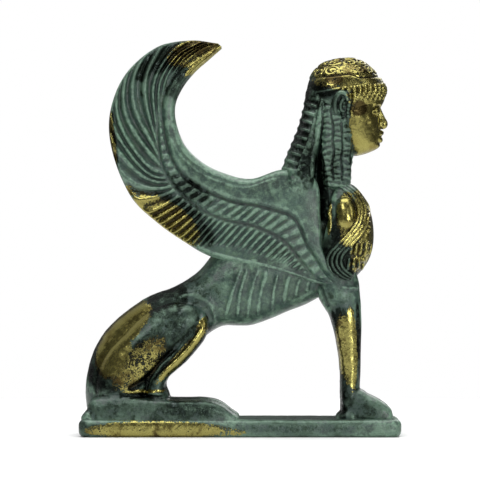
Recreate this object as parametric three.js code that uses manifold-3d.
// A small seated sphinx, cast solid in brass in one piece with its plinth.
// Millimetres. X runs forward, the way the sphinx faces, Y across and Z up.
// The origin is the middle of the plinth's underside.
import * as THREE from "three";
import { mergeVertices } from "three/addons/utils/BufferGeometryUtils.js";
import Module from "manifold-3d";

const wasm = await Module();
wasm.setup();

// ---- Driving dimensions ------------------------------------------------------------------

const PLINTH = { length: 90, width: 27, height: 5, corner: 3, round: 0.9 };

// A rounded body is a row of stations from one end to the other, and each station is
// [x, y, z, radius in the side view, half-width across].
const TORSO = [
  [31, 0, 60, 7, 7],
  [19, 0, 51.4, 13.6, 8.6],
  [8, 0, 46.8, 12.4, 8.9],
  [-1.2, 0, 41.6, 10.6, 8.7],
  [-8.6, 0, 38.1, 7.8, 8.4],
  [-15.5, 0, 34, 8.4, 8.8],
  [-22.5, 0, 29.8, 9.7, 9.4],
  [-29.2, 0, 22, 10.6, 9.8],
  [-32.6, 0, 13.5, 10.3, 9.8],
  [-32.6, 0, 4, 9.9, 9.6],
  [-32.6, 0, -6, 9.8, 9.6],
];
const BREAST = [
  [29, 0, 73.5, 3, 5],
  [29.2, 0, 67, 5.7, 7.2],
  [29.2, 0, 59.5, 8, 8.6],
  [29, 0, 51.5, 7.6, 8.2],
  [28.6, 0, 42, 5, 7],
];
const THIGH = [
  [-8.6, 6.6, 36.4, 3, 3],
  [-14, 6.4, 32.8, 6.2, 4.8],
  [-20, 6.2, 28.8, 7.8, 5.6],
  [-26, 6, 24, 8.6, 6],
  [-31.2, 5.8, 17, 8.8, 6],
  [-32.6, 5.6, 6, 8.8, 5.8],
  [-32.6, 5.6, -4, 8.8, 5.8],
];
const SHIN = [
  [-10.4, 8.2, 36, 2.2, 3],
  [-11.6, 8.4, 29.6, 2.9, 3.4],
  [-16.8, 8.6, 22.8, 2.5, 3.2],
  [-22, 8.6, 18, 2.4, 3],
  [-23.4, 8.4, 13.4, 2.7, 3],
  [-23.4, 8.2, 4, 3.4, 3.4],
];
const HIND_FOOT = [
  [-44.2, 7.8, 5.6, 2.6, 3.4],
  [-38, 7.8, 7.2, 4.4, 3.8],
  [-28, 8, 7.6, 4.2, 3.9],
  [-18, 8, 7.3, 3.1, 3.8],
  [-9, 8, 7.1, 3.5, 4.2],
  [-0.6, 8, 4.4, 1.9, 3.8],
];
const FORELEG = [
  [26.2, 4.6, 52, 5.8, 4],
  [27.4, 4.9, 42, 6.2, 4],
  [29.4, 5.1, 35, 4.5, 3.7],
  [30.4, 5.2, 28, 3.6, 3.3],
  [30.8, 5.2, 20, 3, 3],
  [30.8, 5.2, 12.5, 2.8, 3],
  [30.8, 5.2, 2, 3.2, 3.3],
];
const FOREPAW = [
  [27.6, 5.4, 5.5, 2.8, 3.4],
  [32, 5.4, 8.4, 4, 4],
  [37, 5.5, 7.3, 3.4, 4.2],
  [42, 5.5, 4.8, 2, 3.8],
];
const NECK = [
  [25.5, 0, 62, 7, 6.2],
  [25.3, 0, 72, 6.3, 5.6],
  [26, 0, 80, 6, 5.6],
  [27, 0, 90, 7, 6.4],
];
const BACK_HAIR = [
  [24.6, 0, 101, 5, 6.4],
  [22.4, 0, 92, 4.7, 7.6],
  [19.7, 0, 83, 4.4, 7.6],
  [17.4, 0, 75.5, 4.7, 7.6],
  [15, 0, 65, 6.4, 7],
];
const FRONT_LOCK_TOP = [26, 7.2, 89];
const FRONT_LOCK_END = [25.6, 6.6, 70.5];
const FRONT_LOCKS = { count: 3, gap: 2.2, inset: 0.5, radius: 1.5, thick: 1.8 };
const SKULL = [
  [18.3, 0, 96.2, 6, 5.6],
  [24.6, 0, 96.4, 8.8, 8.1],
  [32.4, 0, 96.2, 9.6, 8.2],
  [40.9, 0, 95.8, 6, 5.6],
];
const FACE = [
  [30.8, 0, 103, 7.4, 6],
  [31, 0, 96.5, 8.9, 7.6],
  [31.4, 0, 91, 8.5, 7.5],
  [32.8, 0, 85.2, 7, 6.4],
  [34.6, 0, 78.8, 5.4, 4.8],
];
const FILLET = { centre: [29.8, 0, 97.1], length: 10.5, width: 8.3, tilt: 0.1, cord: 0.65 };
const EAR = [
  [27.4, 7, 95.6, 1.1, 1],
  [28.6, 7.2, 93, 1.9, 1.6],
  [28.9, 7, 88.7, 1.1, 1.2],
];
const NOSE = [
  [39, 0, 94.6, 1, 1],
  [39.9, 0, 91, 1.1, 1],
  [40.2, 0, 87, 1.4, 1.6],
];
const BROW = { from: [39.6, 0.9, 93.9], middle: [38.6, 3.6, 95.2], to: [36, 6, 94.2], cord: 0.55 };
const EYE = { from: [39, 1.7, 92.2], middle: [38.4, 3.7, 92.3], to: [36.6, 5.4, 92], cord: 0.8 };
const LIPS = { from: [38.4, -2.4, 84.3], middle: [39.3, 0, 84.1], to: [38.4, 2.4, 84.3], cord: 0.8 };

// The wing's ribs from the shoulder to the tip, each [leading x, leading z, trailing x, trailing z].
const WING_RIBS = [
  [30, 44, 28.2, 42.4],
  [26, 53, 22, 42.6],
  [23, 62, 14.5, 44.8],
  [19.5, 70, 7, 46.6],
  [11.5, 72.6, -1, 48.2],
  [3, 72, -9, 50.6],
  [-5, 73.8, -15, 54],
  [-11, 77, -23, 59.6],
  [-15.6, 81.8, -30.5, 67],
  [-18, 88, -35.6, 79],
  [-18.2, 93.2, -36.5, 90],
  [-16.1, 98, -32.3, 101],
  [-12.7, 102.3, -23.5, 108.8],
  [-9, 105.6, -14, 110.8],
  [-5.4, 108.6, -6.4, 109.6],
];
const LAST_RIB = WING_RIBS.length - 1;
// Across the wing's depth at a rib: [rib, distance of the middle from the centre plane, half-thickness].
const WING_DEPTH = [
  [0, 6.8, 2],
  [3, 6.9, 2.4],
  [6, 6, 2.2],
  [9, 4.9, 1.9],
  [14, 4.5, 1.1],
];
const WING_EDGE = 0.45; // the rounded edge, as a share of the half-thickness
// Shares of the way across the wing, at a rib: the leading band, and the foot of the coverts.
const LEADING_BAND = [
  [0, 0.35],
  [4, 0.16],
  [10, 0.12],
  [14, 0.2],
];
const COVERT_FOOT = [
  [0, 0.95],
  [2, 0.7],
  [4, 0.56],
  [8, 0.4],
  [10, 0.28],
];
const FEATHERS = 20;
// The rib at which a feather starts, and the rib at which it ends, by its number.
const FEATHER_ROOT = [
  [0, 1.3],
  [9, 5],
  [14, 7.6],
  [20, 10],
];
const FEATHER_TIP = [
  [0, 1.5],
  [9, 5.1],
  [14, 8.4],
  [20, 13.8],
];
const FEATHER = { width: 1.3, lift: 0.6, bend: 0.75 };
const RIDGE = 0.7;

const FLANK_STROKES = 7;
const FLANK = {
  top: [[0, 7.6, 46.6], [21, 6.2, 42.4]],
  middle: [[-1.5, 7.8, 40], [20, 6, 41]],
  foot: [[-5, 5.6, 33], [19, 4.4, 39]],
  width: 0.65,
  depth: 1.4,
};

// ---- Tools -------------------------------------------------------------------------------

// Reads a table of [position, value, ...] rows at any position, in straight lines between them.
function read(table, position, column = 1) {
  const next = table.findIndex(([at]) => at >= position);
  if (next === 0) return table[0][column];
  if (next < 0) return table[table.length - 1][column];
  const [from, to] = [table[next - 1], table[next]];
  const share = (position - from[0]) / (to[0] - from[0]);
  return THREE.MathUtils.lerp(from[column], to[column], share);
}

// A closed geometry as a solid, turned right side out if a mirrored mapping turned it round.
function solid(geometry) {
  const bare = geometry.clone();
  bare.deleteAttribute("normal");
  bare.deleteAttribute("uv");
  const merged = mergeVertices(bare, 1e-4);
  const corners = merged.index.array;
  const faces = [];
  for (let i = 0; i < corners.length; i += 3) {
    const [a, b, c] = corners.subarray(i, i + 3);
    if (a !== b && b !== c && c !== a) faces.push([a, b, c]);
  }
  const made = (order) =>
    new wasm.Manifold(
      new wasm.Mesh({
        numProp: 3,
        vertProperties: merged.attributes.position.array,
        triVerts: new Uint32Array(order.flat()),
      }),
    );
  const body = made(faces);
  return body.volume() < 0 ? made(faces.map(([a, b, c]) => [a, c, b])) : body;
}

// A rounded body along its stations: a sphere drawn out along a curve.
// side is 1 or -1, and mirrors it. blunt is how suddenly its ends close.
function swept(stations, { sides = 12, rings = 12, blunt = 4, side = 1 } = {}) {
  const spine = new THREE.CatmullRomCurve3(
    stations.map(([x, y, z]) => new THREE.Vector3(x, side * y, z)),
  );
  const girth = new THREE.CatmullRomCurve3(
    stations.map(([, , , tall, deep]) => new THREE.Vector3(tall, deep, 0)),
  );
  const geometry = new THREE.SphereGeometry(1, sides, rings);
  const points = geometry.attributes.position;
  const across = new THREE.Vector3(0, 1, 0);
  for (let i = 0; i < points.count; i++) {
    const [x, y, z] = [points.getX(i), points.getY(i), points.getZ(i)];
    const t = (1 - y) / 2;
    const turn = Math.atan2(z, x);
    const swell = Math.sqrt(Math.max(0, 1 - Math.abs(2 * t - 1) ** blunt));
    const tangent = spine.getTangent(t);
    const sideways = across.clone().addScaledVector(tangent, -across.dot(tangent)).normalize();
    const upward = new THREE.Vector3().crossVectors(sideways, tangent);
    const size = girth.getPoint(t);
    const place = spine
      .getPoint(t)
      .addScaledVector(upward, swell * size.x * Math.cos(turn))
      .addScaledVector(sideways, swell * size.y * Math.sin(turn));
    points.setXYZ(i, place.x, place.y, place.z);
  }
  return solid(geometry);
}

// A thin round cord through points, each [x, y, z].
const cord = (points, radius, options = {}) =>
  swept(
    points.map((point) => [...point, radius, radius]),
    { sides: 4, rings: 5, ...options },
  );

const both = (make) => [1, -1].flatMap(make);

// ---- The plinth --------------------------------------------------------------------------

function plinth() {
  const { length, width, height, corner, round } = PLINTH;
  const [x, y, r] = [length / 2 - round, width / 2 - round, corner - round];
  const outline = new THREE.Shape()
    .moveTo(-x + r, -y)
    .lineTo(x - r, -y)
    .absarc(x - r, -y + r, r, -Math.PI / 2, 0)
    .lineTo(x, y - r)
    .absarc(x - r, y - r, r, 0, Math.PI / 2)
    .lineTo(-x + r, y)
    .absarc(-x + r, y - r, r, Math.PI / 2, Math.PI)
    .lineTo(-x, -y + r)
    .absarc(-x + r, -y + r, r, Math.PI, 1.5 * Math.PI);
  const slab = new THREE.ExtrudeGeometry(outline, {
    depth: height - 2 * round,
    bevelThickness: round,
    bevelSize: round,
    bevelSegments: 2,
    curveSegments: 4,
  });
  return solid(slab.translate(0, 0, round));
}

// ---- The lion's body ---------------------------------------------------------------------

const trunk = () => [
  swept(TORSO, { sides: 12, rings: 16, blunt: 6 }),
  swept(BREAST, { sides: 12, rings: 10 }),
];

const hindLeg = (side) => [
  swept(THIGH, { side, sides: 10, rings: 10, blunt: 6 }),
  swept(SHIN, { side, sides: 8, rings: 9 }),
  swept(HIND_FOOT, { side, sides: 8, rings: 9, blunt: 6 }),
];

const foreleg = (side) => [
  swept(FORELEG, { side, sides: 8, rings: 11, blunt: 8 }),
  swept(FOREPAW, { side, sides: 8, rings: 6 }),
];

// Thin raised strokes that hang below the wing on the flank.
function flankStrokes(side) {
  const { top, middle, foot, width, depth } = FLANK;
  const between = ([a, b], share) => a.map((value, i) => THREE.MathUtils.lerp(value, b[i], share));
  return Array.from({ length: FLANK_STROKES }, (_, i) => {
    const places = [top, middle, foot].map((ends) => between(ends, i / FLANK_STROKES));
    const stations = places.map((place) => [...place, width, depth]);
    return swept(stations, { side, sides: 4, rings: 4 });
  });
}

// ---- The wings ---------------------------------------------------------------------------

const ribCurve = (from) =>
  new THREE.CatmullRomCurve3(WING_RIBS.map((rib) => new THREE.Vector3(rib[from], 0, rib[from + 1])));
const LEADING_EDGE = ribCurve(0);
const TRAILING_EDGE = ribCurve(2);

// The point of a wing at a rib and a share of the way across it, at a height over its middle plane.
function wingPoint(rib, share, height) {
  const t = rib / LAST_RIB;
  const point = LEADING_EDGE.getPoint(t).lerp(TRAILING_EDGE.getPoint(t), share);
  return [point.x, read(WING_DEPTH, rib) + height, point.z];
}

// The half-thickness of the blade: full in the middle, and rounded off towards both edges.
function bladeThickness(rib, share) {
  const crown = Math.sqrt(Math.max(0, 1 - (2 * share - 1) ** 4));
  return read(WING_DEPTH, rib, 2) * (WING_EDGE + (1 - WING_EDGE) * crown);
}

function wingBlade(side) {
  const [alongs, acrosses] = [1.5 * LAST_RIB, 3];
  const blade = new THREE.BoxGeometry(1, 1, 2, alongs, acrosses, 1);
  const points = blade.attributes.position;
  for (let i = 0; i < points.count; i++) {
    const [rib, share] = [(points.getX(i) + 0.5) * LAST_RIB, points.getY(i) + 0.5];
    const height = points.getZ(i) * bladeThickness(rib, share);
    const [x, y, z] = wingPoint(rib, share, height);
    points.setXYZ(i, x, side * y, z);
  }
  return solid(blade);
}

// Long feathers that start at the foot of the coverts and sweep out to the trailing edge.
function feather(number, side) {
  const [root, tip] = [read(FEATHER_ROOT, number), read(FEATHER_TIP, number)];
  const stations = [0, 0.35, 0.7, 1].map((part) => {
    const rib = THREE.MathUtils.lerp(root, tip, part);
    const start = read(COVERT_FOOT, root);
    const share = THREE.MathUtils.lerp(start, 0.97, part ** FEATHER.bend);
    const height = bladeThickness(rib, share);
    const width = FEATHER.width * (part < 1 ? 1 : 0.7);
    return [...wingPoint(rib, share, height), width, FEATHER.lift];
  });
  return swept(stations, { side, sides: 4, rings: 4 });
}

// The smooth band behind the leading edge, and the ridge between the coverts and the feathers.
function wingBand(table, radius, side, ribs) {
  const stations = ribs.map((rib) => {
    const share = read(table, rib);
    const height = bladeThickness(rib, share);
    return [...wingPoint(rib, share, height), radius, RIDGE];
  });
  return swept(stations, { side, sides: 4, rings: 8 });
}

const everyRib = (first, last) =>
  Array.from({ length: last - first + 1 }, (_, i) => first + i);

const wing = (side) => [
  wingBlade(side),
  ...Array.from({ length: FEATHERS }, (_, number) => feather(number, side)),
  wingBand(LEADING_BAND, 1.6, side, everyRib(1, LAST_RIB - 1)),
  wingBand(COVERT_FOOT.map(([rib, share]) => [rib, share - 0.12]), 1.1, side, everyRib(1, 9)),
];

// ---- Neck, hair and head -----------------------------------------------------------------

function frontLocks(side) {
  const { count, gap, inset, radius, thick } = FRONT_LOCKS;
  return Array.from({ length: count }, (_, i) => {
    const stations = [0, 0.5, 1].map((part) => {
      const [x, y, z] = FRONT_LOCK_TOP.map((value, k) =>
        THREE.MathUtils.lerp(value, FRONT_LOCK_END[k], part),
      );
      return [x + i * gap * (0.3 + 0.7 * part), y - i * inset * part, z, radius, thick];
    });
    return swept(stations, { side, sides: 5, rings: 5 });
  });
}

// A closed ring of cord: an ellipse in the XY plane, tilted about Y.
function ring({ centre, length, width, tilt, cord: radius }) {
  const torus = new THREE.TorusGeometry(1, radius / width, 4, 20);
  torus.scale(length, width, width);
  return solid(torus.rotateY(-tilt).translate(...centre));
}

const ear = (side) => swept(EAR, { side, sides: 8, rings: 6 });

const bar = ({ from, middle, to, cord: radius }, side = 1) =>
  cord([from, middle, to], radius, { side });

const face = () => [
  swept(FACE, { sides: 12, rings: 10, blunt: 6 }),
  swept(NOSE, { sides: 6, rings: 5 }),
  ...both((side) => [bar(BROW, side), bar(EYE, side)]),
  bar(LIPS),
];

const head = () => [
  swept(NECK, { sides: 10, rings: 6 }),
  swept(BACK_HAIR, { sides: 12, rings: 8 }),
  swept(SKULL, { sides: 12, rings: 10 }),
  ring(FILLET),
  ...face(),
  ...both(ear),
  ...both(frontLocks),
];

// ---- One casting -------------------------------------------------------------------------

const masses = [
  plinth(),
  ...trunk(),
  ...both(hindLeg),
  ...both(foreleg),
  ...both(flankStrokes),
  ...both(wing),
  ...head(),
];
const aboveGround = solid(new THREE.BoxGeometry(200, 100, 200).translate(0, 0, 100));
const casting = masses
  .reduce((whole, mass) => whole.add(mass))
  .intersect(aboveGround)
  .getMesh();

const geometry = new THREE.BufferGeometry()
  .setAttribute("position", new THREE.BufferAttribute(casting.vertProperties, casting.numProp))
  .setIndex(new THREE.BufferAttribute(casting.triVerts, 1));
const patinatedBrass = new THREE.MeshStandardMaterial({
  color: 0x4a6457,
  roughness: 0.5,
  metalness: 0.6,
});
const sphinx = new THREE.Mesh(geometry, patinatedBrass);
sphinx.name = "sphinx";

const statue = new THREE.Group();
statue.add(sphinx);
export default statue;
